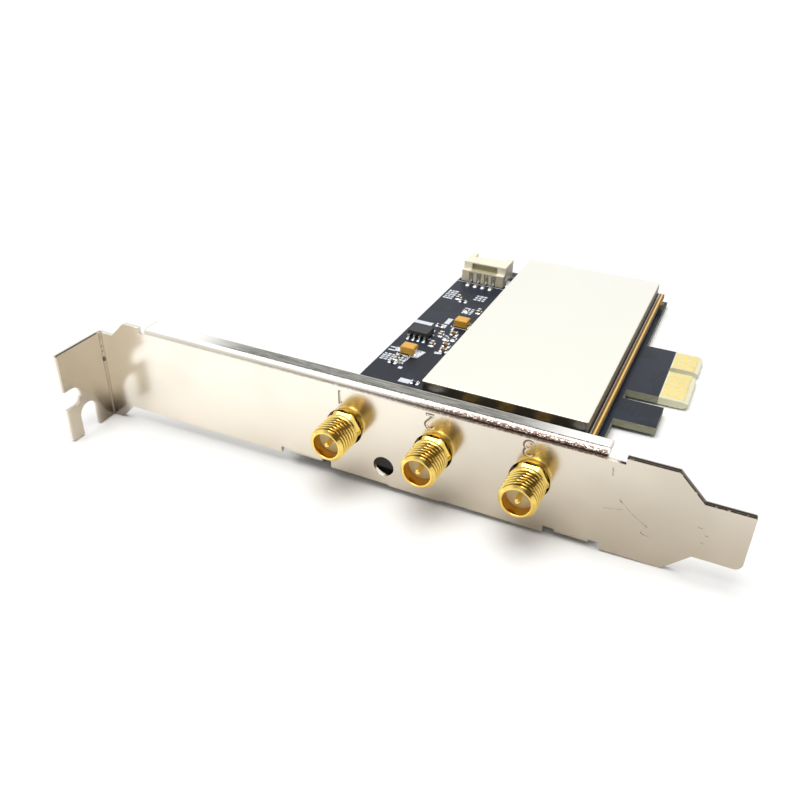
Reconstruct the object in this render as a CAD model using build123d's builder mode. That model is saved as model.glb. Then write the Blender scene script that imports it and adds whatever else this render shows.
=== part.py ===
"""Wireless network card with a full-height slot bracket, three antenna jacks and a shielded radio module.

Frame: X runs along the bracket from the screw tab to the tongue, Y runs back into the card, +Z is the
component side. The origin is the corner where the case ledge seats: the screw tab's inner face (X = 0),
the bracket's outer face (Y = 0) and the bracket's lower edge (Z = 0). Millimetres.
"""
import os

from build123d import *

os.makedirs("parts", exist_ok=True)

# Slot bracket, folded from one steel sheet
sheet = 0.86
bracket_overall = 120.02
face_height = 18.42
bend_inner = 0.44
tab_reach = 11.0
head_drop = 3.17
head_top_run = 3.0
head_low_run = 2.2
flange_depth = 3.65
flange_start = 11.0
flange_end = 97.4
flange_relief_left = 1.2
flange_relief_right = 2.7
tongue_width = 10.19
tongue_low = 3.95
tongue_start = 112.0
tongue_corner = 1.3
tongue_top_corner = 0.4
slot_width = 4.42
slot_centre = -6.1
slot_root = 0.7
edge_notch_width = 3.8
edge_notch_depth = 3.8
edge_notch_height = 5.6
foot_depth = 9.0
foot_spans = [(41.6, 48.3), (91.0, 96.7)]
foot_relief = 0.9
shear_step = 0.25
shear_span = (61.6, 71.2)
lamp_hole_radius = 1.9
lamp_hole_at = (60.5, 3.6)
jack_hole_radius = 3.4

# Antenna jacks, soldered to the board and reaching out through the bracket
jack_pitch = 16.55
jack_middle = 69.5
jack_axis = 9.48
jack_count = 3
jack_block = 6.35
jack_block_gap = 0.35
jack_neck_radius = 2.6
jack_neck_reach = 1.2
jack_thread_radius = 3.175
jack_reach = 6.5
jack_rim_radius = 2.62
jack_bevel = 0.7
jack_bore_radius = 2.3
jack_bore_depth = 2.1
jack_pin_radius = 0.46
jack_pin_setback = 0.3
jack_lead_radius = 0.5
jack_post = 1.0
jack_post_spread = 2.54
jack_drop_radius = 1.6
jack_post_below = 0.75
post_clearance = 0.15

# Main board
board_thickness = 1.57
board_left = 41.2
board_right = 92.4
board_depth = 94.0
board_front_gap = 0.1
board_corner = 0.6
finger_reach = 12.2
finger_front = 47.35
finger_front_piece = 11.65
finger_key = 1.9
finger_rear_piece = 7.65
finger_bevel_run = 1.2
finger_bevel_drop = 0.45
finger_corner = 0.8
guide_reach = 8.1
guide_front = 35.4
guide_width = 8.3
lobe_reach = 5.6
lobe_depth = 11.0
contact_pitch = 1.0
contact_width = 0.72
contact_length = 4.6
contact_setback = 0.9
contact_height = 0.05
front_contacts = 11
rear_contacts = 7

# Screws that hold the board to the bracket's folded feet
screw_y = 5.4
screw_radius = 1.45
screw_head_radius = 2.75
screw_head_height = 1.9
screw_tip_below = 0.2
screw_fit = 0.05
screw_hole_fit = 0.2
recess_width = 0.8
recess_depth = 1.0

# Radio module: its own board on two spacers and a board connector, under a drawn shield can
module_left = 56.0
module_right = 91.35
module_front = 19.6
module_lift = 0.87
module_thickness = 1.0
shield_left = 56.7
shield_right = 89.75
shield_front = 24.4
shield_height = 2.8
shield_sheet = 0.2
shield_corner = 0.5
shield_rim = 0.35
plating_height = 0.05
ear_radius = 1.15
ear_inset = 5.6
module_screw_inset_x = 3.0
module_screw_inset_y = 2.3
module_screw_radius = 0.95
module_head_radius = 1.7
module_head_height = 0.75
spacer_radius = 1.9
spacer_tail = 1.3
connector_length = 28.0
connector_width = 4.2
connector_inset = 5.0
coax_size = 2.6
coax_base = 0.35
coax_ring_radius = 1.0
coax_ring_wall = 0.2
coax_height = 1.25
coax_pin_radius = 0.2
coax_pitch = 7.4
coax_row_board = 12.4

# Cable header at the rear left, its mouth to the rear edge
header_left = 42.15
header_width = 11.1
header_setback = 3.5
header_depth = 7.6
header_height = 4.9
header_wall = 0.8
header_mouth_wall = 1.2
header_back_wall = 2.4
header_step_height = 1.9
header_step_depth = 1.3
header_recess_inset = 2.3
header_recess_depth = 0.7
header_recess_roof = 0.35
header_roof_inset = 1.5
header_roof_cut = 2.7
header_pin_pitch = 2.0
header_pin_size = 0.5
header_pin_length = 4.0
header_foot_reach = 2.6
header_pins = 4
header_rib = 0.9
header_pocket_depth = 0.6
header_tab_sheet = 0.3
header_tab_foot = 0.5
header_tab_height = 1.5
header_tab_length = 3.2
header_tab_setback = 1.5

# Small parts on the board
memory_at = (45.3, 50.1)
memory_size = (4.9, 3.9, 1.45)
memory_lift = 0.12
memory_taper = 12
memory_pins = 4
lead_pitch = 1.27
lead_width = 0.42
lead_thickness = 0.2
lead_foot = 0.75
lead_reach = 1.25
block_cap_size = (3.2, 2.5, 1.9)
block_cap_spots = [(46.35, 41.35), (51.95, 58.6)]
block_cap_draft = 0.25
block_cap_terminal = 0.35
block_cap_tongue = 0.12
chip_cap_size = (1.6, 0.8, 0.8)
chip_resistor_size = (1.6, 0.8, 0.45)
chip_terminal = 0.35
chip_terminal_height = 0.03
chip_cap_spots = [
    (45.1, 37.5, 90),
    (49.4, 46.8, 90),
    (52.9, 45.2, 0),
    (52.5, 47.6, 0),
    (49.4, 51.9, 90),
    (52.0, 53.6, 0),
    (52.9, 66.9, 90),
]
chip_resistor_spots = [
    (45.1, 35.8, 0),
    (52.8, 51.2, 90),
    (47.4, 56.2, 0),
    (51.0, 50.9, 90),
    (49.9, 66.4, 90),
    (52.9, 30.0, 0),
]
# The header's own capacitor and resistor: x, distance ahead of the header, turn
header_chip_cap = (45.6, 10.7, 90)
header_chip_resistor = (47.3, 12.0, 0)

# Levels and places that follow from the sizes above
bend_outer = bend_inner + sheet
tongue_end = bracket_overall - sheet
tongue_high = tongue_low + tongue_width
shoulder_high = tongue_start - (face_height - tongue_high)
shoulder_low = tongue_start - tongue_low
tab_top = face_height - head_drop
board_under = sheet
board_top = board_under + board_thickness
board_front = bend_outer + board_front_gap
key_front = finger_front + finger_front_piece
key_rear = key_front + finger_key
finger_rear = key_rear + finger_rear_piece
finger_end = board_right + finger_reach
jack_spots = [jack_middle + (i - (jack_count - 1) / 2) * jack_pitch for i in range(jack_count)]
block_front = sheet + jack_block_gap
block_rear = block_front + jack_block
block_mid = (block_front + block_rear) / 2
block_top = jack_axis + jack_block / 2
post_bottom = board_under - jack_post_below
module_under = board_top + module_lift
module_top = module_under + module_thickness
module_screw_y = module_front + module_screw_inset_y
module_screw_spots = [module_left + module_screw_inset_x, module_right - module_screw_inset_x]
coax_row_module = module_front + coax_size
ear_y = board_depth - ear_inset
foot_mids = [(start + end) / 2 for start, end in foot_spans]
contact_end = finger_end - contact_setback
contact_margin = (finger_front_piece + finger_key / 2) - (front_contacts + 0.5) * contact_pitch
first_contact = finger_front + contact_margin
contact_rows = [first_contact + i * contact_pitch for i in range(front_contacts)]
second_group = first_contact + (front_contacts + 2) * contact_pitch
contact_rows += [second_group + i * contact_pitch for i in range(rear_contacts)]
header_mid = header_left + header_width / 2
header_pin_spots = [header_mid + (i - (header_pins - 1) / 2) * header_pin_pitch for i in range(header_pins)]
header_rear = board_depth - header_setback
header_front = header_rear - header_depth
chip_cap_spots.append((header_chip_cap[0], header_front - header_chip_cap[1], header_chip_cap[2]))
chip_resistor_spots.append(
    (header_chip_resistor[0], header_front - header_chip_resistor[1], header_chip_resistor[2])
)
header_roof = board_top + header_height
header_pin_level = board_top + header_height / 2 - header_rib / 2


def facing_out(x, y, z):
    """Plane with its normal along -Y, at a point."""
    return Plane(origin=(x, y, z), x_dir=(1, 0, 0), z_dir=(0, -1, 0))


# Bracket: face plate, screw tab, rear flange and the two feet under the board
face_profile = [
    (bend_inner, -head_drop),
    (head_low_run, -head_drop),
    (head_low_run + head_drop, 0),
    (foot_spans[0][0] - 2 * foot_relief, 0),
    (foot_spans[0][0] - 2 * foot_relief, bend_outer),
    (foot_spans[0][1] + 2 * foot_relief, bend_outer),
    (foot_spans[0][1] + 2 * foot_relief, 0),
    (shear_span[0] - shear_step, 0),
    (shear_span[0], -shear_step),
    (shear_span[1], -shear_step),
    (shear_span[1] + shear_step, 0),
    (foot_spans[1][0] - 2 * foot_relief, 0),
    (foot_spans[1][0] - 2 * foot_relief, bend_outer),
    (foot_spans[1][1] + 2 * foot_relief, bend_outer),
    (foot_spans[1][1] + 2 * foot_relief, 0),
    (shoulder_low, 0),
    (tongue_start, tongue_low),
    (tongue_end, tongue_low),
    (tongue_end, tongue_high),
    (tongue_start, tongue_high),
    (shoulder_high, face_height),
    (flange_end + flange_relief_right, face_height),
    (flange_end + flange_relief_right, face_height - bend_outer),
    (flange_start - flange_relief_left, face_height - bend_outer),
    (flange_start - flange_relief_left, face_height),
    (head_top_run + head_drop, face_height),
    (head_top_run, tab_top),
    (bend_inner, tab_top),
]

with BuildPart() as bracket:
    with BuildSketch(Plane.XZ.offset(-sheet)) as face_sketch:
        with BuildLine():
            Polyline(*face_profile, close=True)
        make_face()
        low_corner = face_sketch.vertices().group_by(Axis.X)[-1].sort_by(Axis.Y)[0]
        fillet(low_corner, tongue_corner)
        high_corner = face_sketch.vertices().group_by(Axis.X)[-1].sort_by(Axis.Y)[-1]
        fillet(high_corner, tongue_top_corner)
        with Locations(*[(x, jack_axis) for x in jack_spots]):
            Circle(jack_hole_radius, mode=Mode.SUBTRACT)
        with Locations(lamp_hole_at):
            Circle(lamp_hole_radius, mode=Mode.SUBTRACT)
    extrude(amount=sheet)

    # fold between the face and the screw tab
    with BuildSketch(Plane.XY.offset(-head_drop)):
        with BuildLine():
            Line((bend_inner, 0), (bend_inner, sheet))
            RadiusArc((bend_inner, sheet), (-sheet, -bend_inner), -bend_outer)
            Line((-sheet, -bend_inner), (0, -bend_inner))
            RadiusArc((0, -bend_inner), (bend_inner, 0), bend_inner)
        make_face()
    extrude(amount=tab_top + head_drop)

    # screw tab with its open screw slot and the round notch in its outer edge
    with BuildSketch(Plane.YZ.offset(-sheet)) as tab_sketch:
        with BuildLine():
            Polyline(
                (-bend_inner, -head_drop),
                (-tab_reach, -head_drop),
                (-tab_reach, tab_top),
                (-bend_inner, tab_top),
                close=True,
            )
        make_face()
        fillet(tab_sketch.vertices().group_by(Axis.X)[0], tongue_top_corner)
        with Locations((slot_centre, slot_root)):
            Circle(slot_width / 2, mode=Mode.SUBTRACT)
            Rectangle(slot_width, slot_root + head_drop, align=(Align.CENTER, Align.MAX), mode=Mode.SUBTRACT)
        with Locations((-tab_reach + edge_notch_depth - edge_notch_width / 2, edge_notch_height)):
            Circle(edge_notch_width / 2, mode=Mode.SUBTRACT)
            Rectangle(edge_notch_depth, edge_notch_width, align=(Align.MAX, Align.CENTER), mode=Mode.SUBTRACT)
    extrude(amount=sheet)

    # stiffening flange folded back from the upper edge
    with BuildSketch(Plane.YZ.offset(flange_start)):
        with BuildLine():
            RadiusArc((0, face_height - bend_outer), (bend_outer, face_height), bend_outer)
            Polyline(
                (bend_outer, face_height),
                (flange_depth, face_height),
                (flange_depth, face_height - sheet),
                (bend_outer, face_height - sheet),
            )
            RadiusArc((bend_outer, face_height - sheet), (sheet, face_height - bend_outer), -bend_inner)
            Line((sheet, face_height - bend_outer), (0, face_height - bend_outer))
        make_face()
    extrude(amount=flange_end - flange_start)

    # feet folded back from the lower edge, with a tapped hole each
    for start, end in foot_spans:
        with BuildSketch(Plane.YZ.offset(start)):
            with BuildLine():
                RadiusArc((0, bend_outer), (bend_outer, 0), -bend_outer)
                Polyline((bend_outer, 0), (foot_depth, 0), (foot_depth, sheet), (bend_outer, sheet))
                RadiusArc((bend_outer, sheet), (sheet, bend_outer), bend_inner)
                Line((sheet, bend_outer), (0, bend_outer))
            make_face()
        extrude(amount=end - start)
    with Locations(*[(x, screw_y, sheet) for x in foot_mids]):
        Hole(screw_radius + screw_fit, depth=sheet)
bracket.part.label = "bracket"

# Main board: outline with the contact tongue, the guide tab and the screw lobe
board_outline = [
    (board_left, board_front),
    (board_right + lobe_reach, board_front),
    (board_right + lobe_reach, lobe_depth),
    (board_right, lobe_depth),
    (board_right, guide_front),
    (board_right + guide_reach, guide_front),
    (board_right + guide_reach, guide_front + guide_width),
    (board_right, guide_front + guide_width),
    (board_right, finger_front),
    (finger_end, finger_front),
    (finger_end, finger_rear),
    (board_right, finger_rear),
    (board_right, board_depth),
    (board_left, board_depth),
]
post_grid = [(sx * jack_post_spread, sy * jack_post_spread) for sx in (-1, 1) for sy in (-1, 1)]
post_spots = [(x + dx, block_mid + dy) for x in jack_spots for dx, dy in post_grid]

with BuildPart() as main_board:
    with BuildSketch(Plane.XY.offset(board_under)) as board_sketch:
        with BuildLine():
            Polyline(*board_outline, close=True)
        make_face()
        fillet(board_sketch.vertices().group_by(Axis.X)[-1], finger_corner)
        fillet(board_sketch.vertices().group_by(Axis.X)[0], board_corner)
        with Locations((finger_end, (key_front + key_rear) / 2)):
            SlotOverall(2 * (finger_reach - guide_reach + finger_key), finger_key, mode=Mode.SUBTRACT)
        with Locations(*[(x, screw_y) for x in foot_mids]):
            Circle(screw_radius + screw_hole_fit, mode=Mode.SUBTRACT)
        with Locations(*post_spots):
            Circle(jack_post / 2 + post_clearance, mode=Mode.SUBTRACT)
        with Locations(*[(x, block_mid) for x in jack_spots]):
            Circle(jack_lead_radius + post_clearance, mode=Mode.SUBTRACT)
        with Locations(*[(x, module_screw_y) for x in module_screw_spots]):
            Circle(spacer_radius - spacer_tail / 2, mode=Mode.SUBTRACT)
    extrude(amount=board_thickness)
    # long bevels on both faces of the tongue's outer end
    with BuildSketch(Plane.XZ.offset(-finger_rear)):
        for level, drop in ((board_top, -finger_bevel_drop), (board_under, finger_bevel_drop)):
            with BuildLine():
                bevel = [(finger_end - finger_bevel_run, level), (finger_end, level), (finger_end, level + drop)]
                Polyline(*bevel, close=True)
            make_face()
    extrude(amount=finger_rear - finger_front, mode=Mode.SUBTRACT)
main_board.part.label = "main_board"

# Gold contacts on both faces of the tongue
with BuildPart() as edge_contacts:
    for level in (board_top, board_under - contact_height):
        with BuildSketch(Plane.XY.offset(level)):
            with Locations(*[(contact_end, y) for y in contact_rows]):
                Rectangle(contact_length, contact_width, align=(Align.MAX, Align.CENTER))
        extrude(amount=contact_height)
edge_contacts.part.label = "edge_contacts"


def jack_shell(x):
    """Turned and milled shell of one antenna jack: square block, neck, threaded barrel and four posts."""
    with BuildPart() as shell:
        with BuildSketch(Plane.XY.offset(board_top)):
            with Locations((x, block_mid)):
                Rectangle(jack_block, jack_block)
        extrude(amount=block_top - board_top)
        chamfer(shell.edges().filter_by(Axis.Y).group_by(Axis.Z)[-1], jack_bevel / 2)
        with BuildSketch(facing_out(x, block_front, jack_axis)):
            Circle(jack_neck_radius)
        extrude(amount=block_front + jack_neck_reach)
        with BuildSketch(facing_out(x, -jack_neck_reach, jack_axis)):
            Circle(jack_thread_radius)
        extrude(amount=jack_reach - jack_neck_reach)
        rim = shell.edges().filter_by(GeomType.CIRCLE).sort_by(Axis.Y)[0]
        rim_face = shell.faces().sort_by(Axis.Y)[0]
        chamfer(rim, jack_thread_radius - jack_rim_radius, jack_bevel, reference=rim_face)
        with BuildSketch(facing_out(x, block_mid, jack_axis)):
            Circle(jack_bore_radius)
        extrude(amount=block_mid + jack_reach, mode=Mode.SUBTRACT)
        with BuildSketch(Plane.XY.offset(board_top)):
            with Locations((x, block_mid)):
                Circle(jack_drop_radius)
        extrude(amount=jack_axis - board_top, mode=Mode.SUBTRACT)
        with BuildSketch(Plane.XY.offset(post_bottom)):
            with Locations(*[(x + dx, block_mid + dy) for dx, dy in post_grid]):
                RegularPolygon(jack_post / 2, 8)
        extrude(amount=board_top - post_bottom)
    return shell.part


def jack_centre(x, radius_front, radius_down, front, bottom):
    """Elbow about a jack's axis: a round bar from the front to the block's middle, then down."""
    with BuildPart() as elbow:
        with BuildSketch(facing_out(x, block_mid, jack_axis)):
            Circle(radius_front)
        extrude(amount=block_mid + front)
        with BuildSketch(Plane.XY.offset(bottom)):
            with Locations((x, block_mid)):
                Circle(radius_down)
        extrude(amount=jack_axis - bottom)
    return elbow.part


jack_parts = {}
for number, x in enumerate(jack_spots, start=1):
    pin_front = jack_reach - jack_pin_setback
    seat_front = jack_reach - jack_bore_depth
    with BuildPart() as pin:
        add(jack_centre(x, jack_pin_radius, jack_lead_radius, pin_front, post_bottom))
        tip = pin.edges().filter_by(GeomType.CIRCLE).sort_by(Axis.Y)[0]
        chamfer(tip, jack_pin_radius / 3)
    with BuildPart() as insulator:
        add(jack_centre(x, jack_bore_radius, jack_drop_radius, seat_front, board_top))
        add(pin.part, mode=Mode.SUBTRACT)
    with BuildPart() as shell:
        add(jack_shell(x))
        add(insulator.part, mode=Mode.SUBTRACT)
        add(pin.part, mode=Mode.SUBTRACT)
    jack_parts[f"jack_shell_{number}"] = shell.part
    jack_parts[f"jack_insulator_{number}"] = insulator.part
    jack_parts[f"jack_pin_{number}"] = pin.part
for name, solid in jack_parts.items():
    solid.label = name

# Pan-head screws through the board into the bracket's feet
with BuildPart() as bracket_screws:
    with BuildSketch(Plane.XY.offset(-screw_tip_below)):
        with Locations(*[(x, screw_y) for x in foot_mids]):
            Circle(screw_radius)
    extrude(amount=board_top + screw_tip_below)
    with BuildSketch(Plane.XY.offset(board_top)):
        with Locations(*[(x, screw_y) for x in foot_mids]):
            Circle(screw_head_radius)
    extrude(amount=screw_head_height)
    fillet(bracket_screws.edges().filter_by(GeomType.CIRCLE).group_by(Axis.Z)[-1], screw_head_height / 2)
    with BuildSketch(Plane.XY.offset(board_top + screw_head_height)):
        with Locations(*[(x, screw_y) for x in foot_mids]):
            Rectangle(screw_head_radius, recess_width)
            Rectangle(recess_width, screw_head_radius)
    extrude(amount=-recess_depth, mode=Mode.SUBTRACT)
bracket_screws.part.label = "bracket_screws"

# Radio module board with a plated ear near its rear corner
with BuildPart() as module_board:
    with BuildSketch(Plane.XY.offset(module_under)) as module_sketch:
        with BuildLine():
            Polyline(
                (module_left, module_front),
                (module_right, module_front),
                (module_right, board_depth),
                (module_left, board_depth),
                close=True,
            )
        make_face()
        with Locations((module_right - ear_radius / 4, ear_y)):
            Circle(ear_radius)
        with Locations(*[(x, module_screw_y) for x in module_screw_spots]):
            Circle(module_screw_radius + screw_fit, mode=Mode.SUBTRACT)
    extrude(amount=module_thickness)
module_board.part.label = "module_board"

# Gold border left bare around the shield, on the module board's right and front edges
with BuildPart() as module_plating:
    with BuildSketch(Plane.XY.offset(module_top)):
        with Locations((shield_right, shield_front)):
            Rectangle(module_right - shield_right, board_depth - shield_front, align=(Align.MIN, Align.MIN))
        with Locations((module_left, module_front)):
            Rectangle(module_right - module_left, shield_front - module_front, align=(Align.MIN, Align.MIN))
        with Locations((module_right - ear_radius / 4, ear_y)):
            Circle(ear_radius)
        with Locations((shield_right, shield_front)):
            Rectangle(2 * ear_radius, board_depth, align=(Align.MAX, Align.MIN), mode=Mode.SUBTRACT)
        with Locations(*[(x, module_screw_y) for x in module_screw_spots]):
            Circle(module_head_radius + screw_fit, mode=Mode.SUBTRACT)
        with Locations(*[((module_left + module_right) / 2 + i * coax_pitch, coax_row_module) for i in (-1, 0, 1)]):
            Rectangle(coax_size + screw_fit, coax_size + screw_fit, mode=Mode.SUBTRACT)
    extrude(amount=plating_height)
module_plating.part.label = "module_plating"

# Shield can over the module, drawn from thin sheet and open underneath
with BuildPart() as module_shield:
    with BuildSketch(Plane.XY.offset(module_top)):
        with Locations((shield_left, shield_front)):
            Rectangle(shield_right - shield_left, board_depth - shield_front, align=(Align.MIN, Align.MIN))
    extrude(amount=shield_height)
    fillet(module_shield.edges().filter_by(Axis.Z), shield_corner)
    fillet(module_shield.faces().sort_by(Axis.Z)[-1].edges(), shield_rim)
    with BuildSketch(Plane.XY.offset(module_top)):
        with Locations(((shield_left + shield_right) / 2, (shield_front + board_depth) / 2)):
            room = (shield_right - shield_left - 2 * shield_sheet, board_depth - shield_front - 2 * shield_sheet)
            RectangleRounded(*room, shield_corner - shield_sheet)
    extrude(amount=shield_height - shield_sheet, mode=Mode.SUBTRACT)
module_shield.part.label = "module_shield"

# Spacers under the module's front corners, riveted into the main board
with BuildPart() as module_spacers:
    with BuildSketch(Plane.XY.offset(board_top)):
        with Locations(*[(x, module_screw_y) for x in module_screw_spots]):
            Circle(spacer_radius)
    extrude(amount=module_lift)
    with BuildSketch(Plane.XY.offset(board_under)):
        with Locations(*[(x, module_screw_y) for x in module_screw_spots]):
            Circle(spacer_radius - spacer_tail / 2)
    extrude(amount=board_thickness)
    with Locations(*[(x, module_screw_y, module_under) for x in module_screw_spots]):
        Hole(module_screw_radius + screw_fit, depth=module_lift + board_thickness)
module_spacers.part.label = "module_spacers"

with BuildPart() as module_screws:
    with BuildSketch(Plane.XY.offset(board_under)):
        with Locations(*[(x, module_screw_y) for x in module_screw_spots]):
            Circle(module_screw_radius)
    extrude(amount=module_top - board_under)
    with BuildSketch(Plane.XY.offset(module_top)):
        with Locations(*[(x, module_screw_y) for x in module_screw_spots]):
            Circle(module_head_radius)
    extrude(amount=module_head_height)
    head_rims = module_screws.edges().filter_by(GeomType.CIRCLE).group_by(Axis.Z)[-1]
    chamfer(head_rims, module_head_height / 3)
    with BuildSketch(Plane.XY.offset(module_top + module_head_height)):
        with Locations(*[(x, module_screw_y) for x in module_screw_spots]):
            Rectangle(module_head_radius, recess_width / 2)
            Rectangle(recess_width / 2, module_head_radius)
    extrude(amount=-module_head_height / 2, mode=Mode.SUBTRACT)
module_screws.part.label = "module_screws"

# Board connector that carries the module's rear end
with BuildPart() as module_connector:
    with BuildSketch(Plane.XY.offset(board_top)):
        with Locations(((module_left + module_right) / 2, board_depth - connector_inset)):
            RectangleRounded(connector_length, connector_width, connector_width / 6)
    extrude(amount=module_lift)
module_connector.part.label = "module_connector"


def coax_row(spots, level):
    """Row of small coax sockets: a square base with an open ring and a centre pin on it."""
    with BuildPart() as row:
        with BuildSketch(Plane.XY.offset(level)):
            with Locations(*spots):
                Rectangle(coax_size, coax_size)
        extrude(amount=coax_base)
        with BuildSketch(Plane.XY.offset(level)):
            with Locations(*spots):
                Circle(coax_ring_radius)
                Circle(coax_ring_radius - coax_ring_wall, mode=Mode.SUBTRACT)
                Circle(coax_pin_radius)
        extrude(amount=coax_height)
    return row.part


module_coax = coax_row(
    [((module_left + module_right) / 2 + i * coax_pitch, coax_row_module) for i in (-1, 0, 1)], module_top
)
module_coax.label = "module_coax_sockets"
board_coax = coax_row([(x, coax_row_board) for x in jack_spots], board_top)
board_coax.label = "board_coax_sockets"

# Cable header: a moulded box with its mouth to the rear, stepped and ribbed where the pins come out
with BuildPart() as header_housing:
    with BuildSketch(Plane.XY.offset(board_top)):
        with Locations((header_left, header_front)):
            Rectangle(header_width, header_depth, align=(Align.MIN, Align.MIN))
    extrude(amount=header_height)
    with BuildSketch(facing_out(header_mid, header_rear, header_pin_level)):
        Rectangle(header_width - 2 * header_mouth_wall, header_height - 2 * header_wall)
    extrude(amount=header_depth - header_back_wall, mode=Mode.SUBTRACT)
    # step along the upper front
    with BuildSketch(facing_out(header_mid, header_front, header_roof)):
        Rectangle(header_width, header_step_height, align=(Align.CENTER, Align.MAX))
    extrude(amount=-header_step_depth, mode=Mode.SUBTRACT)
    # shallow recess in the step's upright wall, between the end blocks
    with BuildSketch(facing_out(header_mid, header_front + header_step_depth, header_roof - header_recess_roof)):
        recess_height = header_step_height - header_recess_roof
        Rectangle(header_width - 2 * header_recess_inset, recess_height, align=(Align.CENTER, Align.MAX))
    extrude(amount=-header_recess_depth, mode=Mode.SUBTRACT)
    # open slot in the roof at the mouth
    with BuildSketch(Plane.XY.offset(header_roof)):
        with Locations((header_mid, header_rear)):
            roof_width = header_width - 2 * header_roof_inset
            Rectangle(roof_width, header_roof_cut, align=(Align.CENTER, Align.MAX))
    extrude(amount=-header_wall, mode=Mode.SUBTRACT)
    # pockets for the pin tails, leaving ribs between them
    with BuildSketch(facing_out(header_mid, header_front, board_top)):
        with GridLocations(header_pin_pitch, 1, header_pins, 1):
            pocket = (header_pin_pitch - header_rib, header_height - header_step_height - header_rib / 2)
            Rectangle(*pocket, align=(Align.CENTER, Align.MIN))
    extrude(amount=-header_pocket_depth, mode=Mode.SUBTRACT)
    with BuildSketch(facing_out(header_mid, header_front, header_pin_level)):
        with GridLocations(header_pin_pitch, 1, header_pins, 1):
            Rectangle(header_pin_size, header_pin_size)
    extrude(amount=-header_back_wall, mode=Mode.SUBTRACT)
header_housing.part.label = "header_housing"

# Header pins: straight through the wall, down in its pocket and out on a flat foot
tail_front = header_front + header_pocket_depth - header_pin_size
tail_rear = header_front + header_pocket_depth
tip_y = header_front + header_back_wall + header_pin_length
half_pin = header_pin_size / 2
pin_profile = [
    (tip_y, header_pin_level - half_pin),
    (tip_y, header_pin_level + half_pin),
    (tail_front, header_pin_level + half_pin),
    (tail_front, board_top + header_pin_size),
    (header_front - header_foot_reach, board_top + header_pin_size),
    (header_front - header_foot_reach, board_top),
    (tail_rear, board_top),
    (tail_rear, header_pin_level - half_pin),
]
with BuildPart() as header_pin_row:
    for x in header_pin_spots:
        with BuildSketch(Plane.YZ.offset(x - half_pin)):
            with BuildLine():
                Polyline(*pin_profile, close=True)
            make_face()
        extrude(amount=header_pin_size)
header_pin_row.part.label = "header_pins"

# Holding tabs on the header's two ends, each with a soldered foot
with BuildPart() as header_tabs:
    for wall_x, side in ((header_left, -1), (header_left + header_width, 1)):
        tab_profile = [
            (wall_x, board_top),
            (wall_x, board_top + header_tab_height),
            (wall_x + side * header_tab_sheet, board_top + header_tab_height),
            (wall_x + side * header_tab_sheet, board_top + header_tab_sheet),
            (wall_x + side * (header_tab_sheet + header_tab_foot), board_top + header_tab_sheet),
            (wall_x + side * (header_tab_sheet + header_tab_foot), board_top),
        ]
        tab_front = header_front + header_tab_setback
        with BuildSketch(Plane.XZ.offset(-(tab_front + header_tab_length))):
            with BuildLine():
                Polyline(*tab_profile, close=True)
            make_face()
        extrude(amount=header_tab_length)
header_tabs.part.label = "header_tabs"

# Eight-lead memory chip
memory_x, memory_y = memory_at
memory_length, memory_width, memory_height = memory_size
memory_under = board_top + memory_lift
with BuildPart() as memory_body:
    with BuildSketch(Plane.XY.offset(memory_under + memory_height / 2)):
        with Locations(memory_at):
            Rectangle(memory_length, memory_width)
    extrude(amount=memory_height / 2, taper=memory_taper)
    with BuildSketch(Plane.XY.offset(memory_under + memory_height / 2)):
        with Locations(memory_at):
            Rectangle(memory_length, memory_width)
    extrude(amount=-memory_height / 2, taper=memory_taper)
memory_body.part.label = "memory_body"

lead_high = memory_under + memory_height / 2
with BuildPart() as memory_leads:
    for side in (-1, 1):
        root = memory_y + side * memory_width / 2
        knee = root + side * (lead_reach - lead_foot)
        toe = root + side * lead_reach
        lead_profile = [
            (root, lead_high),
            (root, lead_high - lead_thickness),
            (knee - side * lead_thickness, lead_high - lead_thickness),
            (knee - side * lead_thickness / 2, board_top),
            (toe, board_top),
            (toe, board_top + lead_thickness),
            (knee + side * lead_thickness / 2, board_top + lead_thickness),
            (knee, lead_high),
        ]
        for i in range(memory_pins):
            x = memory_x + (i - (memory_pins - 1) / 2) * lead_pitch
            with BuildSketch(Plane.YZ.offset(x - lead_width / 2)):
                with BuildLine():
                    Polyline(*lead_profile, close=True)
                make_face()
            extrude(amount=lead_width)
memory_leads.part.label = "memory_leads"

# Moulded block capacitors with their folded end terminals
cap_length, cap_width, cap_height = block_cap_size
with BuildPart() as block_capacitors:
    with BuildSketch(Plane.XY.offset(board_top + block_cap_tongue)):
        with Locations(*block_cap_spots):
            Rectangle(cap_length, cap_width)
    extrude(amount=cap_height - block_cap_tongue)
    chamfer(block_capacitors.faces().group_by(Axis.Z)[-1].edges(), block_cap_draft)
block_capacitors.part.label = "block_capacitors"

with BuildPart() as block_cap_terminals:
    for x, y in block_cap_spots:
        for side in (-1, 1):
            end = x + side * cap_length / 2
            out = end + side * block_cap_tongue
            inner = end - side * 2 * block_cap_terminal
            strap = [
                (out, board_top),
                (out, board_top + cap_height / 2),
                (end, board_top + cap_height / 2),
                (end, board_top + block_cap_tongue),
                (inner, board_top + block_cap_tongue),
                (inner, board_top),
            ]
            with BuildSketch(Plane.XZ.offset(-(y + cap_width / 4))):
                with BuildLine():
                    Polyline(*strap, close=True)
                make_face()
            extrude(amount=cap_width / 2)
block_cap_terminals.part.label = "block_cap_terminals"


def chip_bodies(spots, size):
    """Middles of small chip parts, each between its two end terminals."""
    length, width, height = size
    with BuildPart() as bodies:
        for x, y, turn in spots:
            with BuildSketch(Plane.XY.offset(board_top + chip_terminal_height)):
                with Locations(Location((x, y), turn)):
                    Rectangle(length - 2 * chip_terminal, width)
            extrude(amount=height - 2 * chip_terminal_height)
    return bodies.part


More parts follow.
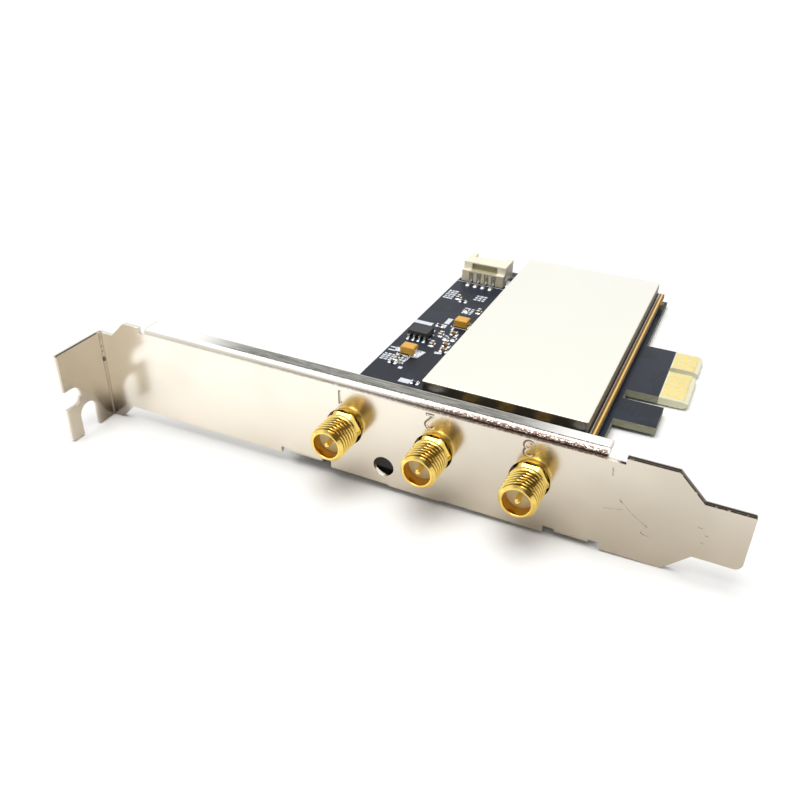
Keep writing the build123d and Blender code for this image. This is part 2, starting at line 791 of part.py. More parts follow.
def chip_ends(spots, size):
    """Plated end caps of small chip parts."""
    length, width, height = size
    with BuildPart() as ends:
        for x, y, turn in spots:
            with BuildSketch(Plane.XY.offset(board_top)):
                with Locations(Location((x, y), turn)):
                    with GridLocations(length - chip_terminal, 1, 2, 1):
                        Rectangle(chip_terminal, width)
            extrude(amount=height)
    return ends.part


chip_parts = {
    "chip_capacitors": chip_bodies(chip_cap_spots, chip_cap_size),
    "chip_capacitor_ends": chip_ends(chip_cap_spots, chip_cap_size),
    "chip_resistors": chip_bodies(chip_resistor_spots, chip_resistor_size),
    "chip_resistor_ends": chip_ends(chip_resistor_spots, chip_resistor_size),
}
for name, solid in chip_parts.items():
    solid.label = name

pieces = [
    bracket.part,
    main_board.part,
    edge_contacts.part,
    bracket_screws.part,
    module_board.part,
    module_plating.part,
    module_shield.part,
    module_spacers.part,
    module_screws.part,
    module_connector.part,
    module_coax,
    board_coax,
    header_housing.part,
    header_pin_row.part,
    header_tabs.part,
    memory_body.part,
    memory_leads.part,
    block_capacitors.part,
    block_cap_terminals.part,
    *jack_parts.values(),
    *chip_parts.values(),
]
for piece in pieces:
    export_step(piece, f"parts/{piece.label}.step")
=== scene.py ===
"""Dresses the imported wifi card: plating, threaded gold jacks, solder, board print and a plain studio.

Shapes are in metres, and MM turns millimetres into metres. Materials read their places in millimetres.
"""

import functools
import math

import bmesh
import bpy
import numpy as np
from bpy.props import FloatProperty, FloatVectorProperty, PointerProperty
from mathutils import Matrix, Vector


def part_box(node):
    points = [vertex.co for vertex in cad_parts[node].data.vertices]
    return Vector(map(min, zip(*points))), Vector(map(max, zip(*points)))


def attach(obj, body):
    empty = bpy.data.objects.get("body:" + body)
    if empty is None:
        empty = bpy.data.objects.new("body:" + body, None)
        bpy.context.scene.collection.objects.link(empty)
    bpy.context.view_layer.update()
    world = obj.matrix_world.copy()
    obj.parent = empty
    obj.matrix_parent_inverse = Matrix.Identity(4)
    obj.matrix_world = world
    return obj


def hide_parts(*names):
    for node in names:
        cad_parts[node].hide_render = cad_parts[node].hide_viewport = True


bl_info = {
    "name": "Wifi Card Finish",
    "version": (1, 0, 0),
    "blender": (4, 5, 0),
    "location": "3D View > Sidebar > Wifi Card",
    "description": "Dresses a wifi card with its finishes, threads, solder and studio",
    "category": "Object",
}

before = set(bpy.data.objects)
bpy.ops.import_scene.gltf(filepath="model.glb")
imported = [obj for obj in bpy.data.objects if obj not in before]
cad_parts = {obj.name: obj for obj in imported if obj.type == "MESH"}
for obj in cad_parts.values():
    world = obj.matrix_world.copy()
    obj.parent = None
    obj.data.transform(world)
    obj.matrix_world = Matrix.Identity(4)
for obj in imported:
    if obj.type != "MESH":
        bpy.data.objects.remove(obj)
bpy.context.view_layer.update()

MM = 0.001
NUMBER_OF_JACKS = 3


def low(node):
    """Lowest corner of a node."""
    return np.array(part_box(node)[0])


def high(node):
    """Highest corner of a node."""
    return np.array(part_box(node)[1])


class Jack:
    """The places of one antenna jack, read from its pieces' boxes."""

    def __init__(self, number):
        shell, insulator, pin = (f"jack_{part}_{number}" for part in ("shell", "insulator", "pin"))
        self.half_block = (high(shell)[0] - low(shell)[0]) / 2
        self.x = (low(pin)[0] + high(pin)[0]) / 2
        self.z = high(shell)[2] - self.half_block
        self.block_y = high(shell)[1] - self.half_block
        self.rim_y = low(shell)[1]
        self.insulator_y = low(insulator)[1]
        self.bore = high(insulator)[0] - self.x
        self.post_tip = low(shell)[2]


JACKS = [Jack(number) for number in range(1, NUMBER_OF_JACKS + 1)]
POST_SPACING = 2.54 * MM
BOARD_TOP = high("main_board")[2]
BOARD_UNDER = low("main_board")[2]


def length_property(name, description, millimetres):
    """A length that a user can change."""
    return FloatProperty(name=name, description=description, default=millimetres * MM,
                         precision=6, unit="LENGTH")


def colour_property(name, description, default):
    """A colour that a user can change."""
    return FloatVectorProperty(name=name, description=description, default=default, size=3,
                               subtype="COLOR", min=0.0, max=1.0)


class WifiCardSizes(bpy.types.PropertyGroup):
    """Sizes of what the frame doesn't hold."""

    thread_pitch: length_property("Thread pitch", "Distance between thread crests", 0.7056)
    thread_depth: length_property("Thread depth", "Depth of the thread below its crests", 0.43)
    numeral_height: length_property("Numeral height", "Height of the numeral above each jack", 2.6)
    numeral_stroke: length_property("Numeral stroke", "Width of a numeral's stroke", 0.58)
    print_height: length_property("Print height", "Thickness of the white print on the board", 0.02)
    solder_height: length_property("Solder height", "Height of the solder fillet at a chip's end", 0.3)


class WifiCardColours(bpy.types.PropertyGroup):
    """Colours of the finishes."""

    nickel: colour_property("Nickel", "Satin nickel on the bracket", (0.82, 0.77, 0.68))
    gold: colour_property("Gold", "Gold plate on the jacks", (1.0, 0.76, 0.22))
    contact: colour_property("Contact gold", "Hard gold on the edge contacts", (0.93, 0.77, 0.31))
    mask: colour_property("Solder mask", "Dark coating of the board", (0.012, 0.016, 0.028))
    laminate: colour_property("Laminate", "Cut edge of the board", (0.36, 0.36, 0.26))
    print_white: colour_property("Print", "White print on the board", (0.8, 0.83, 0.88))
    shield: colour_property("Shield", "Tinned sheet over the module", (0.95, 0.94, 0.86))
    header: colour_property("Header", "Cream moulding of the cable header", (0.97, 0.91, 0.73))
    resin: colour_property("Resin", "Moulded resin of the block capacitors", (0.82, 0.42, 0.03))
    insulator: colour_property("Insulator", "White insulator in the jacks", (0.98, 0.85, 0.56))


class Value:
    """What a node gives; arithmetic on it adds the nodes that work it out."""

    def __init__(self, nodes, socket):
        self.nodes = nodes
        self.socket = socket

    def out(self, name):
        """Another output of the same node."""
        return Value(self.nodes, self.socket.node.outputs[name])

    def math(self, operation, *given):
        """A Math node on one or two numbers."""
        return self.nodes.make("Math", {"operation": operation}, dict(enumerate(given)))

    def __add__(self, other):
        return self.math("ADD", self, other)

    def __radd__(self, other):
        return self.math("ADD", other, self)

    def __sub__(self, other):
        return self.math("SUBTRACT", self, other)

    def __rsub__(self, other):
        return self.math("SUBTRACT", other, self)

    def __mul__(self, other):
        return self.math("MULTIPLY", self, other)

    def __rmul__(self, other):
        return self.math("MULTIPLY", other, self)

    def __pow__(self, other):
        return self.math("POWER", self, other)

    def __abs__(self):
        return self.math("ABSOLUTE", self)

    def folded(self, length):
        """Runs from 0 up to length and back, over and over."""
        return self.math("PINGPONG", self, length)

    def least(self, other):
        """The smaller of the two."""
        return self.math("MINIMUM", self, other)

    def most(self, other):
        """The larger of the two."""
        return self.math("MAXIMUM", self, other)

    def ramp(self, start, end):
        """0 before start and 1 past end, with a smooth rise between; start may be the larger."""
        limits = {"Value": self, "From Min": start, "From Max": end}
        return self.nodes.make("MapRange", {"interpolation_type": "SMOOTHSTEP"}, limits)

    def within(self, start, end, soft):
        """1 between start and end, fading to 0 over soft on either side."""
        return self.ramp(start - soft, start) * self.ramp(end + soft, end)

    def blend(self, other, factor):
        """This colour where factor is 0, the other where it is 1."""
        return self.nodes.make("Mix", {"data_type": "RGBA"}, {0: factor, 6: self, 7: other}, 2)

    def coated(self, *coats):
        """This colour under coats laid in turn, each a colour and where it lies."""
        return functools.reduce(lambda under, coat: under.blend(*coat), coats, self)


class Nodes:
    """A node tree in which every node comes from make."""

    def __init__(self, tree):
        self.tree = tree

    def make(self, kind, settings=None, inputs=None, output=0):
        """A new node of a type: its settings first, then its sockets' values or links."""
        node = self.tree.nodes.new("ShaderNode" + kind)
        for name, value in (settings or {}).items():
            setattr(node, name, value)
        for key, value in (inputs or {}).items():
            self.feed(node, key, value)
        return Value(self, node.outputs[output])

    def feed(self, node, key, value):
        """Links a node's socket to a value, or sets it to a number or colour."""
        socket = node.inputs[key]
        if isinstance(value, Value):
            self.tree.links.new(value.socket, socket)
        elif socket.type == "RGBA" and len(value) == 3:
            socket.default_value = (*value, 1.0)
        else:
            socket.default_value = value

    def colour(self, rgb):
        """A plain colour as a value, for blending with others."""
        return self.make("Mix", {"data_type": "RGBA"}, {0: 0.0, 6: tuple(rgb), 7: tuple(rgb)}, 2)

    def mottled(self, rgb, share, mask):
        """A share of a colour where the mask is 0, the colour itself where it is 1."""
        return self.colour(np.multiply(tuple(rgb), share).tolist()).blend(tuple(rgb), mask)


class Finish(Nodes):
    """One material: its shader, and a surface point's place, in millimetres, and normal."""

    def __init__(self, name, **plain):
        self.material = bpy.data.materials.new(name)
        self.material.use_nodes = True
        super().__init__(self.material.node_tree)
        self.shader = self.tree.nodes["Principled BSDF"]
        for socket, value in plain.items():
            self.set(socket.replace("_", " ").title().replace("Ior", "IOR"), value)
        self.place = self.make(
            "VectorMath", {"operation": "SCALE"}, {0: self.make("TexCoord").out("Object"), "Scale": 1 / MM})
        self.x = self.make("SeparateXYZ", inputs={0: self.place})
        self.y, self.z = self.x.out("Y"), self.x.out("Z")
        self.normal_z = self.make("SeparateXYZ", inputs={0: self.make("NewGeometry").out("Normal")}).out("Z")

    def set(self, socket, value):
        """Feeds one of the shader's sockets."""
        self.feed(self.shader, socket, value)

    def noise(self, scale, detail=2.0, stretch=None, roughness=0.5):
        """Noise from 0 to 1, with scale features to a millimetre, finer along the larger stretches."""
        place = self.place
        if stretch:
            place = self.make("VectorMath", {"operation": "MULTIPLY"}, {0: place, 1: stretch})
        return self.make("TexNoise", inputs={
            "Vector": place, "Scale": scale, "Detail": detail, "Roughness": roughness})

    def done(self, colour, roughness, height, distance):
        """The material, raised by height times distance millimetres for the light alone."""
        self.set("Base Color", colour)
        self.set("Roughness", roughness)
        self.set("Normal", self.make("Bump", inputs={
            "Strength": 1.0, "Distance": distance * MM, "Height": height}))
        return self.material

    def scratch(self, start, end, width):
        """1 on a scratch between two (x, z) places on the bracket's face, 0 beside it."""
        run_x, run_z = end[0] - start[0], end[1] - start[1]
        square = run_x ** 2 + run_z ** 2
        from_x, from_z = self.x - start[0], self.z - start[1]
        along = (from_x * (run_x / square) + from_z * (run_z / square)).most(0.0).least(1.0)
        off_x, off_z = from_x - along * run_x, from_z - along * run_z
        return (off_x * off_x + off_z * off_z).ramp(width ** 2, 0.0)


# The bracket in millimetres: its flange's ends, its face's and tongue's height, and x plus z on the slope.
FLANGE_SPAN = (11.5, 97.0)
FACE_HEIGHT = 18.42
TONGUE_HEIGHT = 14.14
SHOULDER_SUM = 126.14

SCRATCHES = [
    # start, end, width
    ((98.1, 8.3), (100.9, 8.9), 0.07),
    ((100.1, 10.7), (102.2, 8.7), 0.07),
    ((102.2, 8.7), (104.7, 7.1), 0.08),
    ((100.3, 10.5), (100.5, 10.2), 0.22),
    ((104.6, 7.2), (104.75, 7.0), 0.22),
    ((104.1, 5.7), (104.6, 5.3), 0.16),
    ((104.4, 5.5), (105.7, 5.2), 0.07),
    ((98.4, 15.9), (98.55, 14.6), 0.16),
    ((111.9, 9.6), (112.4, 9.6), 0.14),
    ((113.1, 8.5), (113.5, 8.4), 0.1),
    ((112.7, 7.0), (113.1, 6.9), 0.1),
]


def nickel_finish(colours):
    """Satin nickel: clouds, rolling grain, a dark speckled fold line, a streaked flange, scratches and
    painted light.
    """
    f = Finish("satin_nickel", metallic=1.0)
    cloud = f.noise(0.07, 3.0)
    speck = f.noise(2.6, 4.0, roughness=0.7)
    grain = f.noise(1.0, 3.0, stretch=(0.6, 4.0, 9.0))
    streaks = f.noise(1.2, 5.0, stretch=(0.22, 3.4, 3.4), roughness=0.75)
    crumbs = f.noise(3.2, 2.0, stretch=(0.5, 1.0, 1.0))
    grit = f.noise(7.0, 2.0, stretch=(0.6, 1.0, 1.0))

    flange = f.z.ramp(17.9, 18.2) * f.y.ramp(0.4, 0.6) * f.x.within(*FLANGE_SPAN, 0.3)
    flange = flange * f.y.ramp(3.58, 3.45)
    # Dark band on the flange's back half: painted reflection of dark surroundings, with streaks.
    reflection_band = flange * f.x.within(34.0, 80.0, 14.0) * f.y.ramp(1.25, 1.45)
    front_band = flange * f.x.ramp(30.0, 50.0) * f.y.ramp(1.35, 1.15)
    on_bend = f.x.within(*FLANGE_SPAN, 0.5)
    fold = f.z.ramp(17.22, 17.42) * f.z.ramp(17.86, 17.62) * f.y.ramp(1.0, 0.8) * on_bend
    crumbled = f.z.ramp(17.05, 17.3) * f.y.ramp(0.95, 0.7) * f.x.ramp(54.0, 76.0) * on_bend
    seam = f.y.within(1.24, 1.42, 0.1) * f.z.ramp(17.9, 18.1) * f.x.within(30.0, 95.0, 6.0)

    on_tab = f.x.ramp(-0.6, -0.3)
    # Painted shade: the tab's face is darker than the bracket's face.
    tab = f.x.ramp(0.5, 0.2) * on_tab
    crease = f.x.ramp(0.9, 0.3) * f.y.ramp(-0.9, -0.3) * on_tab
    off_corner = abs(f.x + f.y)
    near_corner = f.x.ramp(1.1, 0.9) * f.y.ramp(-1.1, -0.9) * on_tab
    # Painted highlight: lighter strips along the crease's sides.
    beside_crease = near_corner * off_corner.within(0.44, 0.62, 0.06)
    dots = off_corner.ramp(0.16, 0.08) * crease * f.z.ramp(15.5, 14.0) * crumbs.ramp(0.53, 0.6)
    pit = f.scratch((0.15, 9.35), (0.15, 9.75), 0.4) * f.y.ramp(-0.6, -0.2)
    # Painted shade at the foot of the crease, under the head.
    dim = f.x.within(-0.4, 3.4, 2.4) * f.z.ramp(3.4, -2.6) * f.y.ramp(-6.0, -1.5)

    sheared = f.normal_z.ramp(0.5, 0.8) * f.z.ramp(12.5, 13.5) * f.z.ramp(18.6, 18.5)
    on_tongue = f.x.ramp(98.5, 99.5)
    under_top = (SHOULDER_SUM - f.x).least(FACE_HEIGHT).most(TONGUE_HEIGHT) - f.z
    burr = under_top.ramp(0.34, 0.2) * f.y.ramp(0.1, 0.0) * crumbs.ramp(0.34, 0.42) * on_tongue
    tab_edge = f.x.ramp(-0.5, -0.35) * f.y.ramp(-0.3, -0.8)
    dark_rim = (sheared * (f.y.ramp(0.7, 0.55) * on_tongue).most(tab_edge)).most(burr)
    foot = f.y.ramp(0.5, 1.1) * f.z.ramp(2.4, 1.6)
    scratches = functools.reduce(Value.most, [f.scratch(*mark) for mark in SCRATCHES])
    worn = scratches * f.y.ramp(0.3, 0.1) * speck.ramp(0.25, 0.6)

    plate = f.mottled(colours.nickel, 0.91, cloud.ramp(0.3, 0.62)).coated(
        # Pale flange top: matt plating, partly painted highlight.
        ((0.92, 0.91, 0.89), flange),
        # Painted dark reflection on the flange's back, streaked.
        ((0.14, 0.135, 0.115), reflection_band * (0.72 + streaks.ramp(0.62, 0.36) * 0.28)),
        ((0.45, 0.43, 0.39), front_band * speck.ramp(0.5, 0.58)),
        ((0.16, 0.1, 0.07), fold * crumbs.ramp(0.7, 0.42) * (0.1 + f.x.ramp(20.0, 96.0) * 0.8)),
        ((0.14, 0.085, 0.065), crumbled * (crumbs * 0.4 + grit * 0.6).ramp(0.4, 0.5)),
        ((0.05, 0.045, 0.04), seam * grit.ramp(0.4, 0.48)),
        # Painted shade on the tab.
        ((0.525, 0.47, 0.38), tab),
        # Painted shade down the middle of the crease.
        ((0.38, 0.33, 0.26), crease * off_corner.ramp(0.46, 0.4)),
        ((0.63, 0.565, 0.46), beside_crease),
        ((0.1, 0.07, 0.05), pit.most(dots)),
        ((0.16, 0.13, 0.1), dim * 0.75),
        ((0.045, 0.035, 0.03), dark_rim),
        ((0.35, 0.33, 0.3), foot),
        ((0.24, 0.15, 0.1), worn * 0.65),
    )
    roughness = 0.13 + cloud * 0.05 + speck * 0.05 + flange * (0.1 + streaks * 0.22) + worn * 0.2
    relief = grain * 0.3 + speck * 0.5 + streaks * flange * 2.0 + crumbs * fold * 2.5 - worn * 3.0
    return f.done(plate, roughness, relief, 0.006)


def turned_metal(name, colour, share, roughness):
    """A metal's finish, colour, roughness and relief, with faint turning marks round the Y axis."""
    f = Finish(name, metallic=1.0)
    cloud = f.noise(0.8, 3.0)
    turning = f.noise(1.0, 2.0, stretch=(1.5, 14.0, 1.5))
    tone = f.mottled(colour, share, cloud.ramp(0.25, 0.7))
    return f, tone, roughness + cloud * 0.06 + turning * 0.06, turning * 0.5 + cloud * 0.5


TURNING_DEPTH = 0.004


def gold_finish(name, colour, roughness):
    """Gold plate: bright, with faint turning marks."""
    f, gold, uneven, relief = turned_metal(name, colour, (0.93, 0.86, 0.74), roughness)
    return f.done(gold, uneven, relief, TURNING_DEPTH)


def jack_finish(colours):
    """Gold of the jacks, with painted shade in the thread's roots, down the bore and behind the bracket."""
    f, gold, uneven, relief = turned_metal("jack_gold", colours.gold, (0.95, 0.9, 0.8), 0.08)
    first_x, z, bore = (length / MM for length in (JACKS[0].x, JACKS[0].z, JACKS[0].bore))
    pitch = JACKS[1].x / MM - first_x
    off_x = (f.x - first_x).folded(pitch / 2)
    off_z = f.z - z
    radius = (off_x * off_x + off_z * off_z) ** 0.5
    root = radius.ramp(3.13, 2.9) * radius.ramp(2.4, 2.5) * f.y.ramp(-6.25, -5.75) * f.y.ramp(-1.15, -1.25)
    inside = radius.ramp(bore + 0.1, bore + 0.02) * f.y.ramp(-6.45, -6.0)
    behind = f.y.within(0.42, 1.26, 0.06)
    plate = gold.coated(
        # Painted shade in the thread's roots.
        ((0.2, 0.085, 0.012), root * 0.9),
        # Painted shade down the bore.
        ((0.62, 0.31, 0.05), inside * 0.75),
        # Painted shade on the block behind the bracket.
        ((0.03, 0.024, 0.018), behind),
    )
    return f.done(plate, uneven + inside * 0.04, relief, TURNING_DEPTH)


def plating_finish():
    """Plating on the module's edge: a dark inner margin of painted shade, a pale line, a brown band of
    painted reflection of the shield's dark wall, then bright gold.

    In front of the shield it is a dark strip with a few tan pads.
    """
    f = Finish("module_gold", metallic=1.0)
    inner = high("module_shield")[0] / MM
    front = low("module_shield")[1] / MM
    uneven = f.noise(1.2, 3.0)
    pads = f.x.folded(0.9).ramp(0.34, 0.26) * f.y.folded(0.8).ramp(0.34, 0.26) * uneven.ramp(0.42, 0.5)
    outward = f.x - inner + (uneven - 0.5) * 0.1
    # The dark inner margin is painted shade at the shield's foot, and the brown band is painted reflection of
    # its wall.
    border = f.colour((0.03, 0.032, 0.035)).coated(
        ((0.62, 0.6, 0.52), outward.ramp(0.3, 0.38)),
        ((0.24, 0.11, 0.03), outward.ramp(0.46, 0.54)),
        ((0.95, 0.66, 0.2), outward.within(0.98, 1.24, 0.08)),
    )
    strip = f.colour((0.02, 0.021, 0.024)).blend((0.2, 0.16, 0.11), pads)
    before_shield = f.y.ramp(front, front - 0.3) * f.x.ramp(inner + 0.6, inner + 0.3)
    return f.done(border.blend(strip, before_shield), 0.2 + uneven * 0.14, uneven, 0.006)


def contact_finish(colours):
    """Hard gold on the edge contacts, with the fine rub marks of use."""
    f = Finish("contact_gold", metallic=1.0)
    rub = f.noise(1.0, 3.0, stretch=(0.5, 9.0, 1.0))
    pale = [min(1.0, c * 1.04) for c in colours.contact]
    gold = f.colour(pale).blend(tuple(c * 0.86 for c in colours.contact), rub.ramp(0.45, 0.75))
    return f.done(gold, 0.22 + rub * 0.12, rub, 0.003)


BARE_LAMINATE = (0.82, 0.79, 0.58)
# Near-black painted shade for the board behind the bracket's lamp hole.
LAMP_HOLE_SHADE = (0.004, 0.004, 0.005)


def board_finish(name, mask_colour, laminate_colour, bare_corner=None):
    """Solder mask over faint copper tracks and pours, and layered laminate on the cut edges.

    Past bare_corner, in x and y, the board is bare laminate. Such a board also has near-black painted shade
    in front, behind the bracket's lamp hole.
    """
    f = Finish(name, specular_ior_level=0.22)
    edge = abs(f.normal_z).ramp(0.9, 0.6)
    layers = f.noise(1.0, 2.0, stretch=(0.8, 0.8, 16.0))
    weave = f.noise(3.0, 3.0)
    laminate = f.mottled(laminate_colour, 0.72, layers.ramp(0.35, 0.65))
    bend = f.noise(0.1, 0.0)
    pour = f.noise(0.16, 1.0).ramp(0.49, 0.51)
    wires = (f.x * 0.9 + bend * 6.0).folded(0.5).ramp(0.16, 0.12)
    copper = pour.most(wires * bend.ramp(0.54, 0.56))
    dull, bright, shaded = (tuple(c * share for c in mask_colour) for share in (0.82, 1.18, 0.75))
    tone = f.colour(dull).coated((bright, copper), (shaded, weave.ramp(0.5, 0.8) * 0.5))
    if bare_corner is not None:
        x, y = bare_corner
        bare = (BARE_LAMINATE, f.x.ramp(x, x + 0.1) * f.y.ramp(y, y + 0.1))
        # Painted shade behind the lamp hole.
        at_lamp = (LAMP_HOLE_SHADE, f.x.within(57.0, 64.0, 1.0) * f.y.ramp(7.0, 6.0) * f.normal_z.ramp(-0.5, -0.2))
        tone, laminate = tone.coated(bare, at_lamp), laminate.coated(bare, at_lamp)
    relief = copper * (1 - edge) + weave * 0.2
    return f.done(tone.blend(laminate, edge), 0.34 + weave * 0.1 + edge * 0.35, relief, 0.01)


def sheet_finish(colours):
    """Tinned sheet of the shield: pale, with slow waves, a few rubs and walls darkened by painted shade."""
    f = Finish("tinned_sheet", metallic=1.0)
    wave = f.noise(0.05, 1.0)
    rub = f.noise(0.9, 4.0, stretch=(2.0, 0.5, 1.0), roughness=0.6)
    wall = f.normal_z.ramp(0.4, 0.1)
    # Painted shade on the drawn walls.
    sheet = f.mottled(colours.shield, 0.97, wave).blend((0.22, 0.22, 0.21), wall)
    return f.done(sheet, 0.26 + rub * 0.05 + wall * 0.06, wave + rub * 0.03, 0.02)


def plastic_finish(name, colour, roughness, cloudiness=0.1, grain=5.0, **plain):
    """Moulded plastic: a slightly uneven colour and a fine eroded grain."""
    f = Finish(name, **plain)
    cloud = f.noise(0.5, 3.0)
    fine = f.noise(grain, 3.0)
    return f.done(f.mottled(colour, 1 - cloudiness, cloud), roughness + fine * 0.12, fine, 0.012)


def header_finish(colours):
    """Cream moulding of the cable header, with painted shade in the recess and on the lower front."""
    f = Finish("header_cream", subsurface_weight=0.15, subsurface_scale=0.5 * MM)
    left, front, foot = low("header_housing") / MM
    right, _, top = high("header_housing") / MM
    end_block = 2.3
    cloud = f.noise(0.5, 3.0)
    fine = f.noise(5.0, 3.0)
    recess = f.x.within(left + end_block, right - end_block, 0.35) * f.z.within(foot + 3.1, top - 0.6, 0.35)
    lower_front = f.z.ramp(foot + 3.05, foot + 2.9) * f.y.ramp(front + 2.3, front + 1.9)
    tone = f.mottled(colours.header, 0.92, cloud).coated(
        # Painted shade on the lower front and in the recess.
        ((0.52, 0.42, 0.24), lower_front * 0.45),
        ((0.33, 0.29, 0.14), recess * f.y.ramp(front + 2.3, front + 2.1) * 0.8),
    )
    return f.done(tone, 0.34 + fine * 0.12, fine, 0.012)


def tin_finish(name, tone, roughness):
    """Tin plate and solder: bright grey, a little frosted and uneven."""
    f = Finish(name, metallic=1.0)
    frost = f.noise(5.0, 3.0)
    tin = f.mottled((tone, tone, tone), (0.82, 0.83, 0.84), frost)
    return f.done(tin, roughness + frost * 0.2, frost, 0.01)


def print_finish(colours):
    """White board print, thin and slightly patchy."""
    f = Finish("board_print", roughness=0.55)
    f.set("Base Color", f.mottled(colours.print_white, 0.8, f.noise(3.5, 3.0).ramp(0.3, 0.6)))
    return f.material


def stamp_finish(name, dark, pale):
    """Metal of a stamped stroke, mottled between two tones."""
    f = Finish(name, metallic=1.0)
    grain = f.noise(4.0, 3.0)
    return f.done(f.colour(dark).blend(pale, grain.ramp(0.35, 0.65)), 0.24 + grain * 0.15, grain, 0.01)


def grid_faces(rows, columns, wrap_rows=False, wrap_columns=False):
    """Quads between neighbouring rows and columns of points numbered row by row."""
    row, column = np.indices((rows - (not wrap_rows), columns - (not wrap_columns)))
    next_row, next_column = (row + 1) % rows, (column + 1) % columns
    corners = [row * columns + column, row * columns + next_column,
               next_row * columns + next_column, next_row * columns + column]
    return np.stack(corners, axis=-1).reshape(-1, 4)


def full_turn(count):
    """Angles of count points round a circle."""
    return np.linspace(0, 2 * np.pi, count, endpoint=False)


def loft(sections):
    """Closed sections of equal counts joined in a row, with a fan over each end."""
    sections = np.asarray(sections)
    rows, columns = sections.shape[:2]
    points = np.vstack([sections.reshape(-1, 3), sections[[0, -1]].mean(axis=1)])
    around = np.arange(columns)
    after = (around + 1) % columns
    last = (rows - 1) * columns
    fans = [
        np.stack([np.full(columns, rows * columns), after, around], axis=-1),
        np.stack([np.full(columns, rows * columns + 1), last + around, last + after], axis=-1),
    ]
    return points, [grid_faces(rows, columns, wrap_columns=True), *fans]


def ring(profile, around):
    """A closed profile of (radius, y) points turned about the Y axis."""
    profile = np.asarray(profile)
    turn = full_turn(around)
    radius, y = profile[:, 0][:, None], profile[:, 1][:, None]
    points = np.stack([radius * np.cos(turn), y + 0 * turn, radius * np.sin(turn)], axis=-1)
    return points.reshape(-1, 3), [grid_faces(len(profile), around, wrap_rows=True, wrap_columns=True)]


def joined(shapes):
    """Several shapes as one: each shape's face indices move past the points before it."""
    points, faces, count = [], [], 0
    for shape_points, shape_faces in shapes:
        points.append(shape_points)
        faces += [part + count for part in shape_faces]
        count += len(shape_points)
    return np.vstack(points), faces


def slabs(middles, sizes, turns, bottom, top):
    """Thin plates: unit squares scaled by size, turned by angle and set at middles."""
    corner = np.array([(-0.5, -0.5), (0.5, -0.5), (0.5, 0.5), (-0.5, 0.5)])
    flat = corner[None] * sizes[:, None]
    cos, sin = np.cos(turns)[:, None], np.sin(turns)[:, None]
    x = flat[..., 0] * cos - flat[..., 1] * sin + middles[:, :1]
    y = flat[..., 0] * sin + flat[..., 1] * cos + middles[:, 1:2]
    points = np.stack([np.concatenate([x, x], 1), np.concatenate([y, y], 1),
                       np.repeat([[bottom] * 4 + [top] * 4], len(middles), 0)], -1)
    box_faces = np.array([(3, 2, 1, 0), (4, 5, 6, 7), (0, 1, 5, 4), (1, 2, 6, 5), (2, 3, 7, 6), (3, 0, 4, 7)])
    faces = box_faces[None] + 8 * np.arange(len(middles))[:, None, None]
    return points.reshape(-1, 3), [faces.reshape(-1, 4)]


def domes(spots, bottom, power=2.6, around=20, rows=5):
    """Pillows of solder, each from a middle, a size and a height.

    The footprint is a superellipse, and the height falls as the root of 1 - distance squared.
    """
    turn = full_turn(around)
    circle = np.stack([np.cos(turn), np.sin(turn)])
    wide, deep = np.sign(circle) * np.abs(circle) ** (2 / power)
    climb = np.linspace(0, np.pi / 2, rows, endpoint=False)
    reach = np.concatenate([[0.6], np.cos(climb)])[:, None]
    rise = np.concatenate([[0.0], np.sin(climb)])[:, None]
    return joined([
        loft(np.stack([x + reach * wide * length / 2, y + reach * deep * width / 2,
                       bottom + rise * height + 0 * turn], -1))
        for (x, y), (length, width), height in spots])


def ribbon(path, width, height, side_count=8):
    """A flattened stroke along a path of (u, v) points, which rises along the third axis.

    Each section is an ellipse that stands across the mean of the two runs that meet there.
    """
    run = np.gradient(path, axis=0)
    run /= np.linalg.norm(run, axis=1)[:, None]
    across = np.stack([-run[:, 1], run[:, 0]], -1)
    turn = full_turn(side_count)
    flat = path[:, None] + across[:, None] * (np.cos(turn) * width / 2)[:, None]
    level = np.broadcast_to((np.sin(turn) * height)[:, None], (len(path), side_count, 1))
    return loft(np.concatenate([flat, level], -1))


def arc(middle, radius, start, end, count=16):
    """Points on an arc, its angles in degrees."""
    turn = np.radians(np.linspace(start, end, count))
    return np.stack([middle[0] + radius * np.cos(turn), middle[1] + radius * np.sin(turn)], -1)


# Each numeral's strokes, in a box of this width and height.
NUMERAL_BOX = np.array([1.0, 1.6])
NUMERALS = {
    1: [np.array([(0.22, 1.28), (0.5, 1.6), (0.5, 0.8), (0.5, 0.0)])],
    2: [np.vstack([arc((0.5, 1.17), 0.43, 165, -35), [(0.45, 0.45), (0.05, 0.0)]]),
        np.array([(0.05, 0.0), (0.5, 0.0), (0.95, 0.0)])],
    3: [arc((0.46, 1.2), 0.38, 155, -90), arc((0.46, 0.41), 0.43, 90, -155)],
}


def numeral(number, middle, height, stroke, rise):
    """A numeral upside down on the bracket's face, as ribbons along its lines."""
    strokes = []
    for path in NUMERALS[number]:
        turned = middle - (path - NUMERAL_BOX / 2) * height / NUMERAL_BOX[1]
        points, faces = ribbon(turned, stroke, rise)
        strokes.append((np.stack([points[:, 0], -points[:, 2], points[:, 1]], -1), faces))
    return joined(strokes)


def make_piece(name, shape, material, replaces=(), sharp=35.0):
    """A piece from points and faces, smooth where flatter than sharp degrees."""
    points, faces = shape
    mesh = bpy.data.meshes.new(name)
    mesh.from_pydata(points.tolist(), [], [corner for part in faces for corner in part.tolist()])
    sheet = bmesh.new()
    sheet.from_mesh(mesh)
    bmesh.ops.remove_doubles(sheet, verts=sheet.verts, dist=0.0005 * MM)
    bmesh.ops.recalc_face_normals(sheet, faces=sheet.faces)
    sheet.to_mesh(mesh)
    sheet.free()
    return finish_piece(name, mesh, material, replaces, sharp)


